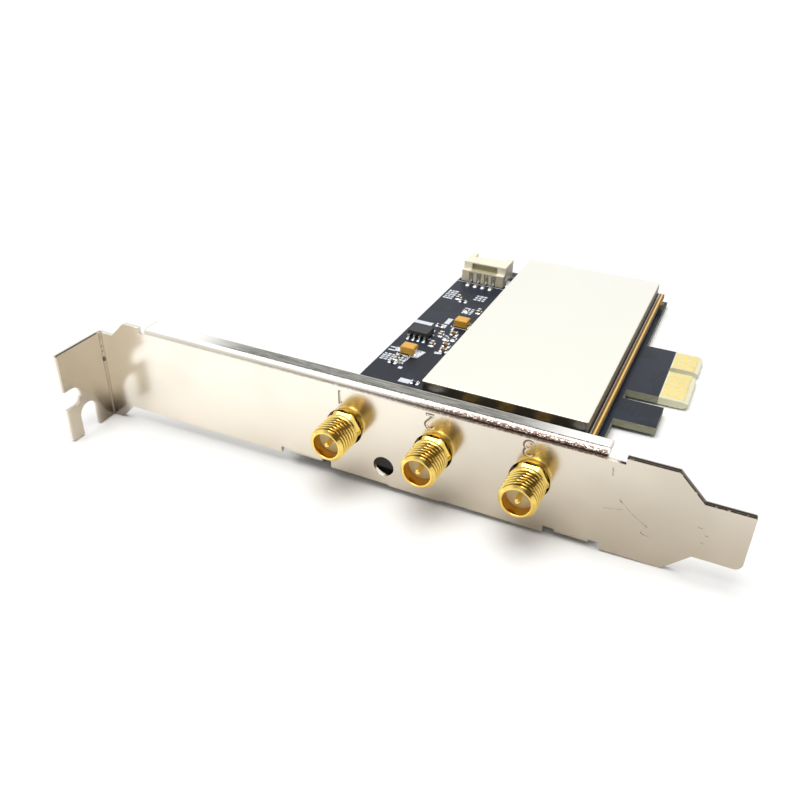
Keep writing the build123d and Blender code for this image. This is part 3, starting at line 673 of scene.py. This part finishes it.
def placed(name, data):
    """A new object in the scene that shows a mesh, lamp or camera."""
    thing = bpy.data.objects.new(name, data)
    bpy.context.scene.collection.objects.link(thing)
    return thing


def finish_piece(name, mesh, material, replaces, sharp):
    """Links a mesh as a riding piece with its material and replaced nodes."""
    mesh.shade_smooth()
    mesh.set_sharp_from_angle(angle=math.radians(sharp))
    mesh.materials.clear()
    mesh.materials.append(material)
    piece = placed(name, mesh)
    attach(piece, "root")
    if replaces:
        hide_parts(*replaces)
    return piece


def smooth_copy(node, name, material, bevel=0.0, sharp=30.0, segments=2):
    """A node's mesh with doubles merged and flats dissolved, so that its bends shade smoothly.

    A bevel, in millimetres, softens its edges.
    """
    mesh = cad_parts[node].data.copy()
    mesh.name = name
    sheet = bmesh.new()
    sheet.from_mesh(mesh)
    bmesh.ops.remove_doubles(sheet, verts=sheet.verts, dist=0.001 * MM)
    bmesh.ops.dissolve_limit(sheet, angle_limit=math.radians(0.5), verts=sheet.verts, edges=sheet.edges)
    sheet.to_mesh(mesh)
    sheet.free()
    if mesh.attributes.get("custom_normal"):
        mesh.attributes.remove(mesh.attributes["custom_normal"])
    piece = finish_piece(name, mesh, material, (node,), sharp)
    if bevel:
        softened = piece.modifiers.new("softened_edges", "BEVEL")
        softened.width = bevel * MM
        softened.segments = segments
        softened.limit_method = "ANGLE"
        softened.angle_limit = math.radians(sharp)


def dress(node, material):
    """Gives a node a material."""
    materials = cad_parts[node].data.materials
    materials.clear()
    materials.append(material)


# Where a numeral's middle stands, from its jack's axis.
NUMERAL_PLACE = np.array([-0.75, 5.85]) * MM


class WIFICARD_OT_bracket(bpy.types.Operator):
    """Dress the folded bracket and stamp a numeral above each jack"""

    bl_idname = "wificard.bracket"
    bl_label = "Bracket"

    def execute(self, context):
        sizes, colours = context.scene.card_sizes, context.scene.card_colours
        nickel = nickel_finish(colours)
        smooth_copy("bracket", "bracket_sheet", nickel, bevel=0.07, sharp=42.0)
        # Each numeral is drawn twice: a dark copy as painted shadow at the stamped edges, a pale raised copy
        # as painted highlight.
        shadow = stamp_finish("stamped_shadow", (0.12, 0.08, 0.05), (0.32, 0.26, 0.2))
        light = stamp_finish("stamped_light", (0.78, 0.75, 0.7), (0.95, 0.93, 0.9))
        layers = (
            # name, material, shift, share of the stroke's width, rise
            ("stamped", shadow, (0.0, 0.0), 1.0, 0.02),
            ("raised", light, (0.14, -0.1), 0.5, 0.035),
        )
        for number, jack in enumerate(JACKS, 1):
            middle = np.array([jack.x, jack.z]) + NUMERAL_PLACE
            for name, material, shift, share, rise in layers:
                shape = numeral(number, middle + np.array(shift) * MM, sizes.numeral_height,
                                sizes.numeral_stroke * share, rise * MM)
                make_piece(f"{name}_numeral_{number}", shape, material)
        return {"FINISHED"}


THREAD_CREST = 3.175 * MM
THREAD_BACK = -1.2 * MM
ROWS_TO_A_TURN = 14
RIM_LIP = 0.32 * MM
NECK = 2.6 * MM
COLLAR_SPAN = (-1.14 * MM, 0.36 * MM)
COLLAR_FLATS = 6.0 * MM
COLLAR_CORNERS = 6.6 * MM


def jack_profile(sizes, jack, thread_front):
    """A barrel's (radius, y) outline from the bore's floor round the rim and back, dense at the thread."""
    bore, rim = jack.bore, jack.rim_y
    inner_end = jack.block_y - jack.half_block + 0.1 * MM
    turns = (THREAD_BACK - thread_front) / sizes.thread_pitch
    y = np.linspace(thread_front, THREAD_BACK, int(turns * ROWS_TO_A_TURN))
    bevelled = np.minimum(THREAD_CREST, bore + RIM_LIP + 0.05 * MM + (y - thread_front) * 1.3)
    return [
        (bore, jack.insulator_y + 0.3 * MM), (bore, rim + 0.12 * MM), (bore + 0.06 * MM, rim + 0.03 * MM),
        (bore + 0.12 * MM, rim), (bore + RIM_LIP - 0.04 * MM, rim), (bore + RIM_LIP, rim + 0.03 * MM),
        *np.stack([bevelled, y], -1), (THREAD_CREST - 0.05 * MM, THREAD_BACK + 0.04 * MM),
        (NECK, THREAD_BACK + 0.06 * MM), (NECK, inner_end), (bore, inner_end),
    ]


def threaded_barrel(sizes, jack):
    """A barrel with a helical thread: its radius falls by a triangle wave of turn plus y over pitch."""
    front = jack.rim_y + 0.08 * MM
    points, faces = ring(jack_profile(sizes, jack, front), around=120)
    radius = np.hypot(points[:, 0], points[:, 2])
    turn = np.arctan2(points[:, 2], points[:, 0]) / (2 * np.pi)
    y = points[:, 1]
    wave = np.abs(((y / sizes.thread_pitch + turn) % 1.0) - 0.5) * 2
    cut = np.clip(wave * 1.25 - 0.125, 0, 1)
    fade = np.clip((THREAD_BACK - 0.45 * MM - y) / (0.25 * MM), 0, 1)
    rounding = 1e-9
    outside = radius > jack.bore + RIM_LIP + 0.02 * MM
    on_thread = outside & (y >= front - rounding) & (y <= THREAD_BACK + rounding)
    threaded = np.minimum(radius, THREAD_CREST - sizes.thread_depth * cut * fade)
    points[:, [0, 2]] *= (np.where(on_thread, threaded, radius) / radius)[:, None]
    return points + (jack.x, 0, jack.z), faces


def rounded_square(half, corner, count=6):
    """The outline of a square with rounded corners, anticlockwise."""
    reach = half - corner
    middles = [(reach, reach), (-reach, reach), (-reach, -reach), (reach, -reach)]
    return np.vstack([arc(middle, corner, 90 * i, 90 * i + 90, count) for i, middle in enumerate(middles)])


def hex_collar(jack):
    """A hexagonal collar on the jack's neck that narrows towards the thread.

    The radius is half the width across flats over the cosine of the angle to the nearest flat's middle, up to
    half the width across the turned corners.
    """
    turn = full_turn(72)
    from_flat = np.abs((turn % (np.pi / 3)) - np.pi / 6)
    radius = np.minimum(COLLAR_FLATS / 2 / np.cos(from_flat), COLLAR_CORNERS / 2)
    start, end = COLLAR_SPAN
    levels = ((start, 0.42), (start + 0.95 * MM, 0.06), (start + 1.05 * MM, 0.0), (end, 0.0))
    reaches = [(y, radius - inset * MM) for y, inset in levels]
    return loft([
        np.stack([jack.x + reach * np.cos(turn), y + 0 * turn, jack.z + reach * np.sin(turn)], -1)
        for y, reach in reaches])


def square_column(x, y, half, corner, levels, count=6):
    """A loft of rounded squares, each at a level and standing in by a length."""
    return loft([
        np.insert(rounded_square(half - inset, corner, count) + (x, y), 2, level, axis=1)
        for level, inset in levels])


def jack_block(jack):
    """The jack's square block and its four posts, with bevelled ends."""
    bevel = 0.25 * MM
    top = jack.z + jack.half_block
    block = ((BOARD_TOP, 0.0), (BOARD_TOP + 0.01 * MM, 0.0), (top - bevel, 0.0), (top, bevel))
    post = ((jack.post_tip, 0.12 * MM), (jack.post_tip + 0.15 * MM, 0.0), (BOARD_TOP + 0.1 * MM, 0.0))
    posts = [square_column(x, y, 0.45 * MM, 0.2 * MM, post, 4) for x, y in post_spots(jack)]
    return joined([square_column(jack.x, jack.block_y, jack.half_block, 0.3 * MM, block), *posts])


def post_spots(jack):
    """Where a jack's four posts go through the board."""
    return [(jack.x + a * POST_SPACING, jack.block_y + b * POST_SPACING) for a in (-1, 1) for b in (-1, 1)]


class WIFICARD_OT_jacks(bpy.types.Operator):
    """Turn the threaded antenna jacks and dress their insulators and pins"""

    bl_idname = "wificard.jacks"
    bl_label = "Antenna jacks"

    def execute(self, context):
        sizes, colours = context.scene.card_sizes, context.scene.card_colours
        gold = jack_finish(colours)
        pin_gold = gold_finish("pin_gold", colours.gold, 0.1)
        insulator = plastic_finish("jack_insulator", colours.insulator, 0.24, subsurface_weight=0.35,
                                   subsurface_scale=0.6 * MM)
        for number, jack in enumerate(JACKS, 1):
            shape = joined([threaded_barrel(sizes, jack), hex_collar(jack), jack_block(jack)])
            make_piece(f"threaded_jack_{number}", shape, gold, (f"jack_shell_{number}",), 38.0)
            smooth_copy(f"jack_insulator_{number}", f"insulator_{number}", insulator)
            smooth_copy(f"jack_pin_{number}", f"centre_pin_{number}", pin_gold)
        return {"FINISHED"}


# The white print, in millimetres on the board.
PRINT_STROKE = 0.18
PRINT_BARS = [
    # x, y, length, width, angle in degrees
    (43.4, 56.0, 4.4, 1.5, 0), (47.9, 56.4, 1.9, 1.7, 0), (43.8, 41.6, 1.5, 1.8, 0),
    (48.6, 41.5, 1.5, 3.2, -12), (52.1, 43.9, 1.6, 0.9, 15), (47.5, 34.4, 0.9, 0.9, 0),
    (50.6, 29.9, 2.4, 1.6, 0), (48.3, 59.3, 1.2, 3.0, 0), (42.5, 40.7, 1.6, 0.5, 0),
    (42.5, 42.0, 1.6, 0.5, 0), (47.2, 38.9, 0.5, 2.4, 0), (46.4, 36.2, 1.2, 0.6, 0),
    (51.3, 50.2, 1.5, 0.8, 0), (49.2, 53.4, 0.6, 1.4, 0), (50.6, 56.0, 0.5, 1.3, 0),
]
PRINT_BLOCKS = [
    # x range, y range, rows, marks to a row
    ((41.6, 45.4), (36.0, 39.2), 4, 4), ((49.0, 51.7), (64.6, 68.2), 4, 3),
    ((41.7, 44.3), (70.8, 76.2), 5, 3), ((49.0, 52.0), (72.8, 76.2), 3, 3),
    ((45.7, 47.4), (35.8, 40.0), 4, 2),
]
PRINT_FRAMES = [
    # x, y, length, width of an outline round a part
    (46.35, 41.35, 4.4, 3.2), (51.95, 58.6, 4.4, 3.2), (45.3, 50.1, 5.4, 2.6), (47.7, 86.6, 13.4, 8.6),
]


def frame_bars(x, y, length, width):
    """The two long sides and four short stubs of an outline round a part."""
    stub = 0.6
    sides = [(x, y + b * width / 2, length, PRINT_STROKE, 0) for b in (-1, 1)]
    stubs = [(x + a * length / 2, y + b * (width - stub) / 2, PRINT_STROKE, stub, 0)
             for a in (-1, 1) for b in (-1, 1)]
    return sides + stubs


def print_marks():
    """Every bar of the print: plain fields, rows of ticks, and outlines round the parts."""
    draw = np.random.default_rng(7)
    bars = list(PRINT_BARS)
    for (x0, x1), (y0, y1), rows, marks in PRINT_BLOCKS:
        step_x, step_y = (x1 - x0) / marks, (y1 - y0) / rows
        for row in range(rows):
            for mark in range(marks):
                length, width = step_x * draw.uniform(0.6, 0.92), step_y * draw.uniform(0.5, 0.75)
                bars.append((x0 + (mark + 0.5) * step_x, y0 + (row + 0.5) * step_y, length, width, 0))
    for place in PRINT_FRAMES:
        bars += frame_bars(*place)
    return np.array(bars)


class WIFICARD_OT_board(bpy.types.Operator):
    """Dress the main board and its contacts, and print its white marks"""

    bl_idname = "wificard.board"
    bl_label = "Main board"

    def execute(self, context):
        sizes, colours = context.scene.card_sizes, context.scene.card_colours
        bare_corner = low("edge_contacts")[:2] / MM - (0.35, 1.5)
        board = board_finish("main_board", colours.mask, colours.laminate, bare_corner)
        smooth_copy("main_board", "board_laminate", board, bevel=0.04, segments=1)
        smooth_copy("edge_contacts", "gold_contacts", contact_finish(colours))
        bars = print_marks()
        shape = slabs(bars[:, :2] * MM, bars[:, 2:4] * MM, np.radians(bars[:, 4]),
                      BOARD_TOP, BOARD_TOP + sizes.print_height)
        make_piece("board_print", shape, print_finish(colours))
        return {"FINISHED"}


class WIFICARD_OT_module(bpy.types.Operator):
    """Dress the radio module, its shield, its sockets and what holds it"""

    bl_idname = "wificard.module"
    bl_label = "Radio module"

    def execute(self, context):
        colours = context.scene.card_colours
        smooth_copy("module_shield", "shield_can", sheet_finish(colours))
        laminate = board_finish("module_board", (0.014, 0.02, 0.017), (0.1, 0.12, 0.08))
        smooth_copy("module_board", "module_laminate", laminate)
        smooth_copy("module_plating", "module_border", plating_finish())
        brass = gold_finish("spacer_brass", (0.74, 0.52, 0.22), 0.28)
        smooth_copy("module_spacers", "brass_spacers", brass)
        steel = tin_finish("zinc_steel", 0.74, 0.2)
        smooth_copy("module_screws", "small_screws", steel, bevel=0.05)
        smooth_copy("bracket_screws", "pan_head_screws", steel, bevel=0.06)
        dress("module_connector", plastic_finish("connector_plastic", (0.03, 0.03, 0.032), 0.45))
        coax = gold_finish("coax_gold", (0.92, 0.66, 0.24), 0.16)
        for node in ("module_coax_sockets", "board_coax_sockets"):
            smooth_copy(node, node.replace("sockets", "rings"), coax, bevel=0.03)
        return {"FINISHED"}


class WIFICARD_OT_header(bpy.types.Operator):
    """Dress the cable header, its pins and its holding tabs"""

    bl_idname = "wificard.header"
    bl_label = "Cable header"

    def execute(self, context):
        cream = header_finish(context.scene.card_colours)
        smooth_copy("header_housing", "header_box", cream, bevel=0.08)
        tin = tin_finish("pin_tin", 0.82, 0.18)
        smooth_copy("header_pins", "header_pin_row", tin, bevel=0.05)
        smooth_copy("header_tabs", "header_tab_pair", tin, bevel=0.05)
        return {"FINISHED"}


class WIFICARD_OT_small_parts(bpy.types.Operator):
    """Dress the memory chip, the block capacitors and the chip parts"""

    bl_idname = "wificard.small_parts"
    bl_label = "Small parts"

    def execute(self, context):
        resin_colour = context.scene.card_colours.resin
        tin = tin_finish("terminal_tin", 0.84, 0.2)
        epoxy = plastic_finish("chip_epoxy", (0.018, 0.019, 0.022), 0.42, grain=9.0)
        smooth_copy("memory_body", "memory_chip", epoxy, bevel=0.05)
        smooth_copy("memory_leads", "memory_lead_set", tin)
        resin = plastic_finish("capacitor_resin", resin_colour, 0.28, cloudiness=0.16, coat_weight=0.3)
        smooth_copy("block_capacitors", "resin_capacitors", resin, bevel=0.1, segments=3)
        smooth_copy("block_cap_terminals", "capacitor_straps", tin)
        ceramic = plastic_finish("chip_ceramic", (0.34, 0.2, 0.09), 0.4)
        smooth_copy("chip_capacitors", "ceramic_chips", ceramic, bevel=0.05)
        glaze = plastic_finish("resistor_glaze", (0.02, 0.02, 0.024), 0.25)
        smooth_copy("chip_resistors", "resistor_chips", glaze, bevel=0.04)
        for node in ("chip_capacitor_ends", "chip_resistor_ends"):
            smooth_copy(node, node.replace("ends", "caps"), tin, bevel=0.05)
        return {"FINISHED"}


def loose_boxes(node):
    """The low corner, high corner and middle of each solid of a node.

    Points at one place share a label, and edges hand the lower label on until each solid has one.
    """
    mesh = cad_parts[node].data
    points = np.array([vertex.co for vertex in mesh.vertices])
    places = np.round(points / (0.002 * MM)).astype(int)
    same = np.unique(places, axis=0, return_inverse=True)[1].ravel()
    ends = same[np.array([edge.vertices[:] for edge in mesh.edges])]
    label, before = np.arange(same.max() + 1), None
    while not np.array_equal(label, before):
        before = label.copy()
        np.minimum.at(label, ends, before[ends].min(axis=1)[:, None])
    owner = label[same]
    solids = [points[owner == group] for group in np.unique(owner)]
    return [(solid.min(0), solid.max(0), (solid.min(0) + solid.max(0)) / 2) for solid in solids]


def solder_cone(spot, level, tip):
    """A cone of solder under the board, hollow-sided: its radius falls from the pad to the post's tip."""
    turn = full_turn(24)
    down = np.linspace(0, 1, 7)[:, None]
    radius = (0.45 + 0.75 * (1 - down) ** 2.2) * MM
    height = level + 0.01 * MM + (tip + 0.12 * MM - level) * down
    return loft(np.stack([
        spot[0] + radius * np.cos(turn), spot[1] + radius * np.sin(turn), height + 0 * turn], -1))


# Length, width and height of the solder at a memory lead, a header pin and, past the tab, a header tab, how
# far it reaches past a chip's end, and how far in from the end of a lead and of a pin it lies.
LEAD_SOLDER, PIN_SOLDER, TAB_SOLDER = np.array([(0.72, 1.1, 0.22), (1.15, 2.0, 0.45), (0.5, 0.6, 0.35)]) * MM
CHIP_REACH = 0.62 * MM
LEAD_INSET, PIN_INSET = 0.25 * MM, 0.55 * MM


class WIFICARD_OT_solder(bpy.types.Operator):
    """Lay solder at the feet, chip ends and posts"""

    bl_idname = "wificard.solder"
    bl_label = "Solder"

    def execute(self, context):
        chip_fillet = context.scene.card_sizes.solder_height
        solder = tin_finish("solder", 0.88, 0.12)
        spots = []
        for node in ("chip_capacitor_ends", "chip_resistor_ends", "block_cap_terminals"):
            for near, far, middle in loose_boxes(node):
                size = far - near
                spots.append((middle[:2], size[:2] + CHIP_REACH, min(chip_fillet, size[2] * 0.6)))
        memory_y = (low("memory_body") + high("memory_body"))[1] / 2
        for near, far, middle in loose_boxes("memory_leads"):
            toe_y = far[1] - LEAD_INSET if near[1] > memory_y else near[1] + LEAD_INSET
            spots.append(((middle[0], toe_y), LEAD_SOLDER[:2], LEAD_SOLDER[2]))
        for near, _, middle in loose_boxes("header_pins"):
            spots.append(((middle[0], near[1] + PIN_INSET), PIN_SOLDER[:2], PIN_SOLDER[2]))
        for near, far, middle in loose_boxes("header_tabs"):
            spots.append((middle[:2], (far - near)[:2] + TAB_SOLDER[:2], TAB_SOLDER[2]))
        make_piece("solder_top", domes(spots, BOARD_TOP - 0.005 * MM), solder)

        cones = [solder_cone(spot, BOARD_UNDER, jack.post_tip)
                 for jack in JACKS for spot in [(jack.x, jack.block_y), *post_spots(jack)]]
        make_piece("solder_under", joined(cones), solder)
        return {"FINISHED"}


# The camera as a turn vector in radians, a place in millimetres and a focal length in pixels.
CAMERA_TURN = (2.08189901, 0.478428614, -0.239973617)
CAMERA_PLACE = (110.799597, -103.568052, 88.6884782)
CAMERA_FOCUS = 828.375516
PHOTO_SIDE = 800
SENSOR = 36.0
FLOOR_CONTACTS = [(2.2, 0.86, -3.17), (108.05, 0.0, 0.0), (92.4, 94.0, 0.86)]


def world_light():
    """White for the camera, and for the metal a pale studio with a dim corner."""
    world = bpy.data.worlds.new("studio")
    world.use_nodes = True
    bpy.context.scene.world = world
    n = Nodes(world.node_tree)
    x = n.make("SeparateXYZ", inputs={0: n.make("TexCoord").out("Generated")})
    y, z = x.out("Y"), x.out("Z")
    room = y.ramp(-0.25, -0.5) * z.ramp(0.06, 0.18) * z.ramp(0.66, 0.52) * x.ramp(-0.7, -0.2)
    wall = n.colour((1.02, 1.02, 1.02)).blend((1.06, 1.06, 1.04), z.ramp(0.32, 0.56))
    studio = wall.blend((0.1, 0.082, 0.066), room)
    path = n.make("LightPath")
    mirrored = path.out("Is Glossy Ray").most(path.out("Is Transmission Ray"))
    seen = path.out("Is Camera Ray")
    light = n.colour((0.38, 0.38, 0.38)).coated((studio, mirrored), ((1.0, 1.0, 1.0), seen))
    n.feed(world.node_tree.nodes["Background"], "Color", light)


def floor_surface():
    """A wide plane through the three points that the card rests on, a hair lower."""
    a, b, c = (np.array(p) * MM for p in FLOOR_CONTACTS)
    normal = np.cross(b - a, c - a)
    normal /= np.linalg.norm(normal)
    spread = np.linspace(-2.0, 2.0, 9)
    x, y = np.meshgrid(spread, spread, indexing="ij")
    z = a[2] - (normal[0] * (x - a[0]) + normal[1] * (y - a[1])) / normal[2] - 0.02 * MM
    return np.stack([x, y, z], -1).reshape(-1, 3), grid_faces(9, 9)


def floor_material():
    """Pale floor: white to the camera; in metal, painted shadow by the card, painted light left and ahead."""
    f = Finish("pale_floor", roughness=0.9, specular_ior_level=0.0, emission_strength=1.0)
    path = f.make("LightPath")
    seen, mirrored = path.out("Is Camera Ray"), path.out("Is Glossy Ray")
    # Seen in metal only: painted shadow near the card and on the right, painted light to the left and ahead.
    leftward, ahead = f.x.ramp(108.0, 10.0), f.y.ramp(-2.0, -30.0)
    near = f.colour((0.57, 0.53, 0.47)).blend((1.00, 0.98, 0.95), leftward)
    in_metal = near.blend(f.colour((0.86, 0.83, 0.785)).blend((1.28, 1.27, 1.26), leftward), ahead)
    pale = f.colour((0.8, 0.8, 0.79))
    f.set("Base Color", pale.coated((in_metal, mirrored), ((0.98, 0.98, 0.975), seen)))
    off_x, off_y = f.x - 60.0, f.y - 30.0
    far = (off_x * off_x + off_y * off_y).ramp(90.0 ** 2, 220.0 ** 2)
    f.set("Emission Color", f.colour((0.0, 0.0, 0.0)).blend((1.0, 1.0, 1.0), far * seen))
    return f.material


def softbox(name, place, aim, side, power):
    """A square area lamp that faces a point."""
    lamp = bpy.data.lights.new(name, "AREA")
    lamp.shape = "RECTANGLE"
    lamp.size = lamp.size_y = side * MM
    lamp.energy = power
    box = placed(name, lamp)
    box.location = Vector(place) * MM
    box.rotation_mode = "QUATERNION"
    box.rotation_quaternion = (Vector(aim) - Vector(place)).to_track_quat("-Z", "Y")


class WIFICARD_OT_stage(bpy.types.Operator):
    """Set the floor, the studio light and the camera at the photograph's angle"""

    bl_idname = "wificard.stage"
    bl_label = "Studio"

    def execute(self, context):
        scene = context.scene
        mesh = bpy.data.meshes.new("floor")
        points, faces = floor_surface()
        mesh.from_pydata(points.tolist(), [], faces.tolist())
        mesh.materials.append(floor_material())
        floor = placed("floor", mesh)
        world_light()
        softbox("ceiling_softbox", (30, -35, 600), (55, 20, 0), 500, 3.3)

        camera = bpy.data.cameras.new("photo_camera")
        camera.sensor_width = SENSOR
        camera.lens = CAMERA_FOCUS / PHOTO_SIDE * SENSOR
        camera.clip_start, camera.clip_end = 5 * MM, 20.0
        viewer = placed("photo_camera", camera)
        turn = Vector(CAMERA_TURN)
        right, down, ahead = Matrix.Rotation(turn.length, 3, turn.normalized())
        stand = Matrix((right, -down, -ahead)).transposed().to_4x4()
        stand.translation = Vector(CAMERA_PLACE) * MM
        viewer.matrix_world = stand
        scene.camera = viewer
        scene.view_settings.view_transform = "Standard"
        return {"FINISHED"}


PIECE_OPERATORS = (
    WIFICARD_OT_bracket, WIFICARD_OT_board, WIFICARD_OT_jacks, WIFICARD_OT_module,
    WIFICARD_OT_header, WIFICARD_OT_small_parts, WIFICARD_OT_solder, WIFICARD_OT_stage,
)


class WIFICARD_PT_panel(bpy.types.Panel):
    """Lists the card's pieces and their sizes and colours"""

    bl_idname = "WIFICARD_PT_panel"
    bl_label = "Wifi Card"
    bl_space_type = "VIEW_3D"
    bl_region_type = "UI"
    bl_category = "Wifi Card"

    def draw(self, context):
        for group in (context.scene.card_sizes, context.scene.card_colours):
            column = self.layout.column(align=True)
            for name in group.__annotations__:
                column.prop(group, name)
        for operator in PIECE_OPERATORS:
            self.layout.operator(operator.bl_idname)


CLASSES = (WifiCardSizes, WifiCardColours, *PIECE_OPERATORS, WIFICARD_PT_panel)


def register():
    """Registers the classes and hangs their settings on the scene."""
    for entry in CLASSES:
        bpy.utils.register_class(entry)
    bpy.types.Scene.card_sizes = PointerProperty(type=WifiCardSizes)
    bpy.types.Scene.card_colours = PointerProperty(type=WifiCardColours)


def unregister():
    """Takes the settings and the classes away again."""
    del bpy.types.Scene.card_colours
    del bpy.types.Scene.card_sizes
    for entry in reversed(CLASSES):
        bpy.utils.unregister_class(entry)


def main():
    """Makes every piece in order."""
    register()
    for operator in PIECE_OPERATORS:
        group, name = operator.bl_idname.split(".")
        getattr(getattr(bpy.ops, group), name)()


if __name__ == "__main__":
    main()
